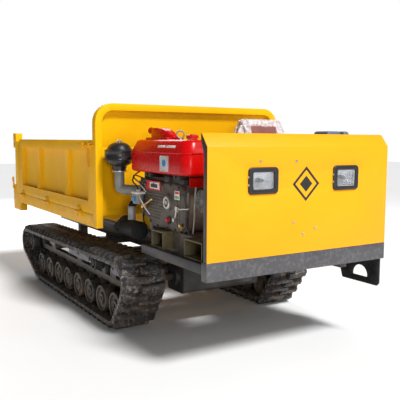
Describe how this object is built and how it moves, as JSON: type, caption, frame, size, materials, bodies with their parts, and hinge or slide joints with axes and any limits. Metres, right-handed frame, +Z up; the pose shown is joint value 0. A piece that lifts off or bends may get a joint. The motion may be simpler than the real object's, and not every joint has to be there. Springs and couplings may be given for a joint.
{
  "type": "power wheelbarrow",
  "caption": "Ride-on tracked dumper with a tipping load box, drop sides, side-mounted engine, operator seat and front panel with headlights.",
  "frame": {"origin": "middle of the machine's footprint, on the ground", "axes": "+Z up; the machine drives towards -Y, load box towards +Y; +X is the operator's side"},
  "size_m": [1.798, 3.912, 1.713],
  "materials": {
    "chassis_paint": "semi-gloss paint over olive primer",
    "bumper_paint": "semi-gloss paint",
    "yellow_paint": "semi-gloss enamel",
    "dark_paint": "semi-gloss paint",
    "black_plastic": "moulded",
    "lamp_glass": "clear ribbed",
    "black_paint": "gloss",
    "zinc_steel": "zinc plated",
    "console_plastic": "moulded blue-grey",
    "seat_vinyl": "vinyl under clear wrapping film",
    "cast_engine": "painted casting",
    "red_paint": "gloss enamel",
    "black_rubber": "moulded",
    "chrome_rod": "polished",
    "wheel_steel": "satin paint",
    "track_rubber": "moulded, dusty"
  },
  "bodies": {
    "chassis": {"chassis_frame": "chassis_paint", "bumper_beam": "bumper_paint", "front_panel": "yellow_paint", "panel_edging": "dark_paint", "headlight_bezels": "black_plastic", "headlight_lenses": "lamp_glass", "panel_mark": "black_paint", "panel_bolts": "zinc_steel", "step_plate": "black_paint", "operator_platform": "dark_paint", "control_console": "console_plastic", "seat_cushion": "seat_vinyl", "seat_back": "seat_vinyl", "engine_crankcase": "cast_engine", "gear_case_cover": "cast_engine", "cylinder_head": "cast_engine", "radiator": "dark_paint", "fuel_tank": "red_paint", "drive_belts": "black_rubber", "air_cleaner": "black_paint", "intake_elbow": "cast_engine", "muffler": "black_paint", "gearbox_case": "cast_engine", "track_frame_left": "dark_paint", "track_frame_right": "dark_paint", "track_belt_left": "track_rubber", "track_belt_right": "track_rubber"},
    "sprocket_left": {"sprocket_left": "wheel_steel"},
    "sprocket_right": {"sprocket_right": "wheel_steel"},
    "idler_left": {"idler_left": "wheel_steel"},
    "idler_right": {"idler_right": "wheel_steel"},
    "carrier_rollers": {"carrier_rollers": "wheel_steel"},
    "flywheel": {"flywheel": "cast_engine"},
    "start_shaft": {"start_shaft": "zinc_steel"},
    "gearbox_pulley": {"gearbox_pulley": "cast_engine"},
    "load_box": {"dump_body": "yellow_paint", "hinge_pins": "zinc_steel"},
    "lift_barrel": {"lift_barrel": "dark_paint"},
    "lift_rod": {"lift_rod": "chrome_rod"},
    "side_gate_left": {"side_gate_left": "yellow_paint"},
    "side_gate_right": {"side_gate_right": "yellow_paint"},
    "gate_latch_left": {"gate_latch_left": "yellow_paint"},
    "gate_latch_right": {"gate_latch_right": "yellow_paint"},
    "tailgate": {"tailgate": "yellow_paint"},
    "tailgate_hooks": {"tailgate_hooks": "yellow_paint"},
    "steering_lever_right": {"steering_lever_right": "black_plastic"},
    "steering_lever_left": {"steering_lever_left": "black_plastic"},
    "gear_lever": {"gear_lever": "black_plastic"},
    "tip_lever": {"tip_lever": "black_plastic"},
    "foot_pedal": {"foot_pedal": "black_paint"},
    "speed_lever": {"speed_lever": "zinc_steel"},
    "fuel_cap": {"fuel_cap": "red_paint"},
    "rollers_1": {"bottom_rollers_1": "wheel_steel"},
    "rollers_2": {"bottom_rollers_2": "wheel_steel"},
    "rollers_3": {"bottom_rollers_3": "wheel_steel"},
    "rollers_4": {"bottom_rollers_4": "wheel_steel"},
    "rollers_5": {"bottom_rollers_5": "wheel_steel"},
    "rollers_6": {"bottom_rollers_6": "wheel_steel"},
    "rollers_7": {"bottom_rollers_7": "wheel_steel"},
    "rollers_8": {"bottom_rollers_8": "wheel_steel"}
  },
  "joints": [
    {"name": "sprocket_spin_left", "type": "hinge", "parent": "chassis", "child": "sprocket_left", "pos_m": [0, -0.854, 0.385], "axis": [1, 0, 0], "continuous": true},
    {"name": "sprocket_spin_right", "type": "hinge", "parent": "chassis", "child": "sprocket_right", "pos_m": [0, -0.854, 0.385], "axis": [1, 0, 0], "continuous": true},
    {"name": "idler_spin_left", "type": "hinge", "parent": "chassis", "child": "idler_left", "pos_m": [0, 1.501, 0.35], "axis": [1, 0, 0], "continuous": true},
    {"name": "idler_spin_right", "type": "hinge", "parent": "chassis", "child": "idler_right", "pos_m": [0, 1.501, 0.35], "axis": [1, 0, 0], "continuous": true},
    {"name": "carrier_spin", "type": "hinge", "parent": "chassis", "child": "carrier_rollers", "pos_m": [0, -0.304, 0.43616], "axis": [1, 0, 0], "continuous": true},
    {"name": "roller_1_spin", "type": "hinge", "parent": "chassis", "child": "rollers_1", "pos_m": [0, -0.729, 0.175], "axis": [1, 0, 0], "continuous": true},
    {"name": "roller_2_spin", "type": "hinge", "parent": "chassis", "child": "rollers_2", "pos_m": [0, -0.465, 0.175], "axis": [1, 0, 0], "continuous": true},
    {"name": "roller_3_spin", "type": "hinge", "parent": "chassis", "child": "rollers_3", "pos_m": [0, -0.201, 0.175], "axis": [1, 0, 0], "continuous": true},
    {"name": "roller_4_spin", "type": "hinge", "parent": "chassis", "child": "rollers_4", "pos_m": [0, 0.063, 0.175], "axis": [1, 0, 0], "continuous": true},
    {"name": "roller_5_spin", "type": "hinge", "parent": "chassis", "child": "rollers_5", "pos_m": [0, 0.327, 0.175], "axis": [1, 0, 0], "continuous": true},
    {"name": "roller_6_spin", "type": "hinge", "parent": "chassis", "child": "rollers_6", "pos_m": [0, 0.591, 0.175], "axis": [1, 0, 0], "continuous": true},
    {"name": "roller_7_spin", "type": "hinge", "parent": "chassis", "child": "rollers_7", "pos_m": [0, 0.855, 0.175], "axis": [1, 0, 0], "continuous": true},
    {"name": "roller_8_spin", "type": "hinge", "parent": "chassis", "child": "rollers_8", "pos_m": [0, 1.119, 0.175], "axis": [1, 0, 0], "continuous": true},
    {"name": "engine_spin", "type": "hinge", "parent": "chassis", "child": "flywheel", "pos_m": [0, -1.304, 0.96], "axis": [1, 0, 0], "continuous": true},
    {"name": "start_shaft_spin", "type": "hinge", "parent": "chassis", "child": "start_shaft", "pos_m": [0, -1.32, 1.014], "axis": [1, 0, 0], "continuous": true},
    {"name": "gearbox_input_spin", "type": "hinge", "parent": "chassis", "child": "gearbox_pulley", "pos_m": [0, -0.854, 0.716], "axis": [1, 0, 0], "continuous": true},
    {"name": "box_tip", "type": "hinge", "parent": "chassis", "child": "load_box", "pos_m": [0, 1.556, 0.66], "axis": [-1, 0, 0], "range_deg": [0, 50]},
    {"name": "lift_pivot", "type": "hinge", "parent": "chassis", "child": "lift_barrel", "pos_m": [0, 1.006, 0.45], "axis": [1, 0, 0], "range_deg": [0, 2.3]},
    {"name": "lift_stroke", "type": "slide", "parent": "lift_barrel", "child": "lift_rod", "axis": [0, 0.783, 0.622], "range_m": [0, 0.178]},
    {"name": "side_gate_left_drop", "type": "hinge", "parent": "load_box", "child": "side_gate_left", "pos_m": [0.887, 0.556, 0.846], "axis": [0, 1, 0], "range_deg": [0, 170]},
    {"name": "side_gate_right_drop", "type": "hinge", "parent": "load_box", "child": "side_gate_right", "pos_m": [-0.887, 0.556, 0.846], "axis": [0, -1, 0], "range_deg": [0, 170]},
    {"name": "gate_latch_left_turn", "type": "hinge", "parent": "side_gate_left", "child": "gate_latch_left", "pos_m": [0.882, -0.394, 1.39], "axis": [0, -1, 0], "range_deg": [0, 85]},
    {"name": "gate_latch_right_turn", "type": "hinge", "parent": "side_gate_right", "child": "gate_latch_right", "pos_m": [-0.882, -0.394, 1.39], "axis": [0, 1, 0], "range_deg": [0, 85]},
    {"name": "tailgate_swing", "type": "hinge", "parent": "load_box", "child": "tailgate", "pos_m": [0, 1.856, 1.385], "axis": [1, 0, 0], "range_deg": [0, 75]},
    {"name": "tailgate_hook_release", "type": "hinge", "parent": "load_box", "child": "tailgate_hooks", "pos_m": [0, 1.906, 0.905], "axis": [-1, 0, 0], "range_deg": [0, 40]},
    {"name": "steering_lever_right_pull", "type": "hinge", "parent": "chassis", "child": "steering_lever_right", "pos_m": [0.42, -1.614, 0.762], "axis": [-1, 0, 0], "range_deg": [0, 24]},
    {"name": "steering_lever_left_pull", "type": "hinge", "parent": "chassis", "child": "steering_lever_left", "pos_m": [0.52, -1.614, 0.762], "axis": [-1, 0, 0], "range_deg": [0, 24]},
    {"name": "gear_lever_pull", "type": "hinge", "parent": "chassis", "child": "gear_lever", "pos_m": [0.23, -1.474, 0.762], "axis": [-1, 0, 0], "range_deg": [0, 20]},
    {"name": "tip_lever_pull", "type": "hinge", "parent": "chassis", "child": "tip_lever", "pos_m": [0.15, -1.474, 0.762], "axis": [-1, 0, 0], "range_deg": [0, 25]},
    {"name": "foot_pedal_press", "type": "hinge", "parent": "chassis", "child": "foot_pedal", "pos_m": [0.61, -1.744, 0.762], "axis": [1, 0, 0], "range_deg": [0, 18]},
    {"name": "speed_lever_turn", "type": "hinge", "parent": "chassis", "child": "speed_lever", "pos_m": [-0.67, -1.444, 0.985], "axis": [-1, 0, 0], "range_deg": [0, 40]},
    {"name": "fuel_cap_turn", "type": "hinge", "parent": "chassis", "child": "fuel_cap", "pos_m": [-0.47, -1.304, 1.46], "axis": [0, 0, 1], "range_deg": [0, 90]}
  ],
  "couplings": [
    {"joint": "idler_spin_left", "follows": "sprocket_spin_left", "ratio": 1.1905},
    {"joint": "idler_spin_right", "follows": "sprocket_spin_right", "ratio": 1.1905},
    {"joint": "carrier_spin", "follows": "sprocket_spin_left", "ratio": 2.0833},
    {"joint": "start_shaft_spin", "follows": "engine_spin", "ratio": -0.5},
    {"joint": "gearbox_input_spin", "follows": "engine_spin", "ratio": 1.125},
    {"joint": "lift_pivot", "follows": "box_tip", "ratio": 0.044273},
    {"joint": "lift_stroke", "follows": "box_tip", "m_per_rad": 0.20326},
    {"joint": "roller_1_spin", "follows": "sprocket_spin_left", "ratio": 1.1905},
    {"joint": "roller_2_spin", "follows": "sprocket_spin_left", "ratio": 1.1905},
    {"joint": "roller_3_spin", "follows": "sprocket_spin_left", "ratio": 1.1905},
    {"joint": "roller_4_spin", "follows": "sprocket_spin_left", "ratio": 1.1905},
    {"joint": "roller_5_spin", "follows": "sprocket_spin_left", "ratio": 1.1905},
    {"joint": "roller_6_spin", "follows": "sprocket_spin_left", "ratio": 1.1905},
    {"joint": "roller_7_spin", "follows": "sprocket_spin_left", "ratio": 1.1905},
    {"joint": "roller_8_spin", "follows": "sprocket_spin_left", "ratio": 1.1905}
  ]
}
